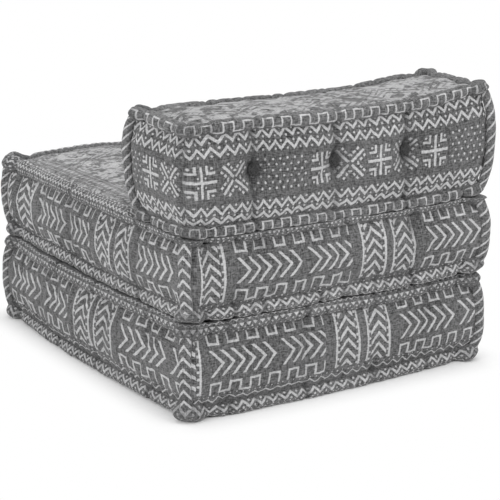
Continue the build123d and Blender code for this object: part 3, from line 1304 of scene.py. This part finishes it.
@dataclass(frozen=True)
class Button:
    """A covered button in the back cushion, with its cloth drawn over it.

    The profile gives its shape from the middle to the rim, as shares of its radius and thickness.
    """

    size: CushionSize
    x: float
    height: float
    side: int
    depth: float
    radius: float = 11.0
    thickness: float = 6.0
    profile_out: tuple[float, ...] = (0.02, 0.3, 0.55, 0.78, 0.93, 1.0, 0.97, 0.9)
    profile_up: tuple[float, ...] = (1.0, 0.985, 0.93, 0.8, 0.58, 0.3, 0.06, 0.0)

    def build(self) -> bpy.types.Object:
        """Makes the button's mesh.

        Returns:
            The button.
        """
        reach, out = np.array(self.profile_out)[None, :], np.array(self.profile_up)[None, :]
        turn = np.linspace(0, 2 * math.pi, 41)
        angle = turn[:-1, None]
        folds = 1 + 0.02 * np.cos(13 * angle) * reach**3
        across = self.radius * reach * folds * np.cos(angle)
        up = self.radius * reach * folds * np.sin(angle)
        y = self.size.plan.centre_y + self.side * (self.depth + self.thickness * out)
        points = grid(self.x + self.side * across, y, self.height + up)
        return lay_mesh("back_button", points, grid(turn[:, None] * self.radius, self.radius * reach), True)


@dataclass(frozen=True)
class Finishes:
    """Every material, by what it covers."""

    boxing: dict[str, bpy.types.Material]
    rolls: dict[tuple[str, Face], bpy.types.Material]
    corner: bpy.types.Material
    tops: dict[str, bpy.types.Material]
    lining: bpy.types.Material
    button: bpy.types.Material


@dataclass
class Cushion:
    """One cushion: its rolls, boxing, panels and corner seams, dressed and fixed to its body."""

    size: CushionSize
    finishes: Finishes
    corners: tuple[tuple[int, int], ...]
    strips: tuple[str, ...] = ("left", "rear", "right", "front")

    def take(
        self,
        piece: bpy.types.Object,
        material: bpy.types.Material,
        slot: str,
        nodes: list[str],
        levels: int = 1,
    ) -> None:
        """Dresses one piece and fixes it to the cushion's body.

        Args:
            piece: The piece.
            material: What it is made of.
            slot: The record's slot for its finish; not used.
            nodes: The CAD nodes that it stands for.
            levels: How often its faces are divided.
        """
        piece.data.materials.clear()
        piece.data.materials.append(material)
        if levels:
            smooth = piece.modifiers.new("smooth", "SUBSURF")
            smooth.levels = smooth.render_levels = levels
        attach(piece, self.size.body)
        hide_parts(*nodes)
        log.info("made %s", piece.name)

    def build(self) -> None:
        """Makes every piece of the cushion."""
        name, finishes = self.size.name, self.finishes
        covered = [f"{name}_{strip}_boxing" for strip in self.strips] + [f"{name}_filling"]
        self.take(Boxing(self.size).build(), finishes.boxing[name], "patterned_weave", covered)
        for face in Face:
            roll = Roll(self.size, face).build()
            self.take(roll, finishes.rolls[name, face], "roll_weave", [f"{name}_{face.word}_roll"])
        top, bottom = Panel(self.size, Face.TOP).build(), Panel(self.size, Face.BOTTOM).build()
        self.take(top, finishes.tops[name], "faded_patchwork", [f"{name}_top_panel"])
        self.take(bottom, finishes.lining, "underside_cloth", [f"{name}_bottom_panel"], 0)
        seams = [CornerRoll(self.size, *corner).build() for corner in self.corners]
        joined = join_pieces(f"{name}_corner_seams", seams)
        self.take(joined, finishes.corner, "roll_weave", [f"{name}_corner_rolls"])


@dataclass
class BackCushion(Cushion):
    """The back cushion, which is also tufted with buttons, sunk less deep at the middle of its bow."""

    button_places: tuple[tuple[float, float], ...] = ()
    end_depth: float = 81.5
    depth_slope: float = 0.0267
    half_length: float = 291

    def build(self) -> None:
        """Makes every piece of the cushion, then its buttons."""
        super().build()
        for side, word in ((1, "rear"), (-1, "front")):
            buttons = []
            for x, height in self.button_places:
                depth = self.end_depth + self.depth_slope * (self.half_length - abs(x))
                buttons.append(Button(self.size, x, height, side, depth).build())
            joined = join_pieces(f"back_{word}_button_row", buttons)
            self.take(joined, self.finishes.button, "button_cloth", [f"back_{word}_buttons"])


@dataclass(frozen=True)
class Studio:
    """A pale floor, soft lights and the camera, in metres and degrees."""

    azimuth: float = 147.9
    elevation: float = 15.2
    distance: float = 3.0872
    target: tuple[float, float, float] = (-0.0323, 0.0, 0.1663)
    lens: float = 118.2
    floor_reach: float = 40.0
    shadow_half: tuple[float, float] = (0.29, 0.34)
    shadow_fade: float = 0.08
    surround: float = 0.55

    def build(self) -> None:
        """Makes the floor, world, lights and camera."""
        self.floor()
        self.world()
        self.light("key", (-1.2, 2.6, 3.0), 2.6, 62.0)
        self.light("fill", (3.2, 1.2, 1.7), 2.4, 44.0)
        self.light("top", (0.0, -0.4, 3.4), 3.0, 42.0)
        self.camera()
        bpy.context.scene.view_settings.view_transform = "Standard"

    def floor(self) -> None:
        """Makes a floor that is white to the camera and keeps the sofa's shadow."""
        signs = ((-1, -1), (1, -1), (1, 1), (-1, 1))
        corners = [(self.floor_reach * x, self.floor_reach * y, 0) for x, y in signs]
        mesh = bpy.data.meshes.new("floor")
        mesh.from_pydata(corners, [], [(0, 1, 2, 3)])
        piece = bpy.data.objects.new("floor", mesh)
        bpy.context.collection.objects.link(piece)
        material = bpy.data.materials.new("floor")
        material.use_nodes = True
        tree = material.node_tree
        tree.nodes.clear()
        pale = {"Base Color": (0.93, 0.93, 0.93, 1.0), "Roughness": 1.0, "Specular IOR Level": 0.0}
        shadowed, white = add_node(tree, "BsdfPrincipled", pale), add_node(tree, "Emission")
        place = add_node(tree, "NewGeometry").outputs["Position"]
        parts = add_node(tree, "SeparateXYZ", {0: place}).outputs
        x, y = ((Number(tree, parts[i]).size() - self.shadow_half[i]).step("MAXIMUM", 0.0) for i in (0, 1))
        inputs = {"From Min": 0.0, "From Max": self.shadow_fade, "Value": (x * x + y * y).step("SQRT")}
        away = add_node(tree, "MapRange", inputs, interpolation_type="SMOOTHSTEP")
        share = Number(tree, away.outputs[0]) * self.seen(tree)
        mix = add_node(tree, "MixShader", {0: share, 1: shadowed.outputs[0], 2: white.outputs[0]})
        add_node(tree, "OutputMaterial", {"Surface": mix.outputs[0]})
        mesh.materials.append(material)

    def seen(self, tree: bpy.types.NodeTree) -> Number:
        """Marks the rays that show a thing to the camera: straight, mirrored or through glass.

        Args:
            tree: The material or world that the mark is for.

        Returns:
            The mark.
        """
        path = add_node(tree, "LightPath").outputs
        kinds = ("Camera", "Glossy", "Transmission")
        straight, mirrored, through = (Number(tree, path[f"Is {kind} Ray"]) for kind in kinds)
        return straight | mirrored | through

    def world(self) -> None:
        """Makes a soft surrounding light that the camera sees as white."""
        world = bpy.data.worlds.new("world")
        bpy.context.scene.world = world
        world.use_nodes = True
        tree = world.node_tree
        tree.nodes.clear()
        soft, white = (
            add_node(tree, "Background", {"Color": (1, 1, 1, 1), "Strength": strength}).outputs[0]
            for strength in (self.surround, 1.0)
        )
        mix = add_node(tree, "MixShader", {0: self.seen(tree), 1: soft, 2: white})
        add_node(tree, "OutputWorld", {"Surface": mix.outputs[0]})

    def light(self, name: str, place: tuple[float, float, float], size: float, power: float) -> None:
        """Hangs one soft square light, aimed at the sofa.

        Args:
            name: The light's name.
            place: Where it hangs, in metres.
            size: Length of its side.
            power: Its power in watts.
        """
        data = bpy.data.lights.new(name, "AREA")
        data.size, data.energy = size, power
        lamp = bpy.data.objects.new(name, data)
        lamp.location = place
        aim = Vector((0, 0, 0.2)) - Vector(place)
        lamp.rotation_euler = aim.to_track_quat("-Z", "Y").to_euler()
        bpy.context.collection.objects.link(lamp)

    def camera(self) -> None:
        """Places the camera where the photograph was taken from."""
        data = bpy.data.cameras.new("camera")
        data.lens, data.sensor_width = self.lens, 36.0
        data.clip_end = 100.0
        camera = bpy.data.objects.new("camera", data)
        turn, tilt = math.radians(self.azimuth), math.radians(self.elevation)
        away = Vector((math.sin(turn) * math.cos(tilt), -math.cos(turn) * math.cos(tilt), math.sin(tilt)))
        camera.location = Vector(self.target) + away * self.distance
        camera.rotation_euler = (-away).to_track_quat("-Z", "Y").to_euler()
        bpy.context.collection.objects.link(camera)
        bpy.context.scene.camera = camera


SEAT_PLAN = Plan(half_x=300.0, half_y=350.0, centre_y=0.0, bow=10.0)
BACK_PLAN = Plan(half_x=300.0, half_y=90.5, centre_y=259.5, bow=8.0)
BACK_BASE = 306.6
BUTTONS = ((178.0, 410.0), (23.0, 410.0), (-125.0, 410.0))
# Runs and heights of the single stitches in the seats' boxing.
LOWER_STITCHES = (
    (60, 30), (210, 128), (352, 24), (470, 122), (-120, 126), (-300, 28), (-452, 124), (-590, 40)
)
UPPER_STITCHES = (
    (24, 118), (124, 116), (283, 118), (430, 112), (72, 26), (-60, 30), (-240, 118), (-520, 112)
)


def seat_stitches(places: tuple[tuple[float, float], ...]) -> tuple[Pull, ...]:
    """Returns the pulls of the single stitches in a seat's boxing."""
    return tuple(Pull(run, height, 3.2, 17.0, 13.0) for run, height in places)


def lower_size() -> CushionSize:
    """Sizes the lower seat, which slumps to the picture's left and rear.

    Returns:
        Its sizes.
    """
    return CushionSize(
        name="lower",
        body="lower_seat",
        seed=100,
        plan=SEAT_PLAN,
        base=0.0,
        low_roll=12.0,
        high_roll=154.0,
        radius=14.0,
        bulge=12.0,
        crown=0.0,
        low_contact=Contact.FLOOR.value,
        high_contact=Contact.LOWER_TOP.value,
        pulls=seat_stitches(LOWER_STITCHES),
        valleys=(
            Pull(-512, 80, 4.5, 20.0, 70.0),
            Pull(-250, 84, 2.5, 16.0, 50.0),
            Pull(200, 84, 2.0, 14.0, 60.0),
        ),
        pinches=(60, 210, 352, 470, -120, -300, -452),
        sags=(Sag(330, -90, 330.0, (10.0, 0.0, 0.0), True), Sag(-290, 350, 250.0, (-2.0, -9.0, 0.0), True)),
        knob_swell=(0.38, 0.27),
    )


def upper_size() -> CushionSize:
    """Sizes the upper seat, which the back cushion presses down.

    Returns:
        Its sizes.
    """
    return CushionSize(
        name="upper",
        body="upper_seat",
        seed=200,
        plan=SEAT_PLAN,
        base=166.3,
        low_roll=178.3,
        high_roll=306.3,
        radius=14.0,
        bulge=12.0,
        crown=13.0,
        low_contact=Contact.UPPER_BASE.value,
        high_contact=None,
        pulls=seat_stitches(UPPER_STITCHES),
        valleys=(
            Pull(-398, 76, 5.0, 20.0, 70.0),
            Pull(-156, 76, 4.0, 18.0, 60.0),
            Pull(428, 116, 5.0, 8.0, 26.0),
        ),
        pinches=(17, 71, 124, 236, 283, 430, -156, -398),
        sags=(Sag(300, -350, 80.0, (3.0, -3.0, -2.0)), Sag(150, -360, 150.0, (0.0, 0.0, 8.0))),
        carries_back=True,
    )


def back_size() -> CushionSize:
    """Sizes the back cushion, whose cloth is drawn in deep at each button.

    Returns:
        Its sizes.
    """
    tufts = []
    for x, height in BUTTONS:
        for side in (1, -1):
            tufts.append((run_at(BACK_PLAN, 8.05, x, BACK_PLAN.centre_y + side * 90), height - BACK_BASE))
    return CushionSize(
        name="back",
        body="backrest",
        seed=300,
        plan=BACK_PLAN,
        base=BACK_BASE,
        low_roll=314.6,
        high_roll=486.1,
        radius=12.5,
        bulge=10.0,
        crown=6.0,
        low_contact=Contact.BACK_BASE.value,
        high_contact=None,
        pulls=tuple(Pull(run, height, 13.0, 25.0, 25.0) for run, height in tufts),
        valleys=(
            *(Pull(run, height, 8.0, 6.0, 95.0) for run, height in tufts),
            Pull(-6, 96, 7.0, 5.0, 95.0),
        ),
        pinches=tuple(run for run, _ in tufts),
        sags=(
            Sag(-20, 240, 190.0, (0.0, 0.0, -6.0)),
            Sag(-300, 169, 120.0, (-12.0, -4.0, 9.0)),
            Sag(-300, 350, 120.0, (-3.0, 0.0, 11.0)),
            Sag(300, 169, 90.0, (6.0, -7.0, -2.0)),
            Sag(300, 350, 80.0, (9.0, 2.0, -3.0)),
        ),
        knob_out=9.0,
        knob_swell=(0.08, 0.08),
        near_lean=0.0,
        seam_radius=8.8,
        seam_out=11.0,
        cloth_pull=13.0,
    )


def all_finishes() -> Finishes:
    """Makes every material.

    Returns:
        The materials.
    """
    borders = {
        ("lower", Face.BOTTOM): RollPattern.ZIGZAG,
        ("lower", Face.TOP): RollPattern.TRIANGLES,
        ("upper", Face.BOTTOM): RollPattern.ZIGZAG,
        ("upper", Face.TOP): RollPattern.DOTS,
        ("back", Face.BOTTOM): RollPattern.LOOPS,
        ("back", Face.TOP): RollPattern.LOOPS,
    }
    lower_strips = SeatStrips(rear_start=-101.5, side_pair=-305.0, side_stretch=1.2)
    upper_strips = SeatStrips(rear_start=-52.0, side_pair=-243.0, lone_panel=-600.0, drop=16.0)
    return Finishes(
        boxing={
            "lower": SeatBoxingWeave("lower_seat_weave", lower_strips).finish(),
            "upper": SeatBoxingWeave("upper_seat_weave", upper_strips).finish(),
            "back": BackBoxingWeave("back_weave", 0.325, 0.74).finish(),
        },
        rolls={
            (name, face): RollWeave(f"{name}_{border.value}_border_{face.word}", border).finish()
            for (name, face), border in borders.items()
        },
        corner=RollWeave("corner_seam_weave", RollPattern.TICKS).finish(),
        tops={
            "lower": FadedPatchwork("lower_patchwork", 0.36, 0.67).finish(),
            "upper": FadedPatchwork("seat_patchwork", 0.36, 0.69, (258.0, 308.0)).finish(),
            "back": FadedPatchwork("back_patchwork", 0.31, 0.64).finish(),
        },
        lining=Lining("lining", 0.40, 0.6).finish(),
        button=ButtonCloth("button_cloth", 0.20, 0.7).finish(),
    )


def main() -> None:
    """Makes the sofa and its studio."""
    finishes = all_finishes()
    seat_corners = ((1, 1), (-1, 1), (-1, -1), (1, -1))
    Cushion(lower_size(), finishes, seat_corners).build()
    Cushion(upper_size(), finishes, seat_corners).build()
    BackCushion(back_size(), finishes, ((1, -1), (-1, 1)), ("rear", "front"), button_places=BUTTONS).build()
    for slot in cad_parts["back_tufting_twines"].material_slots:
        slot.material = finishes.button
    Studio().build()


if __name__ == "__main__":
    logging.basicConfig(level=logging.INFO)
    main()
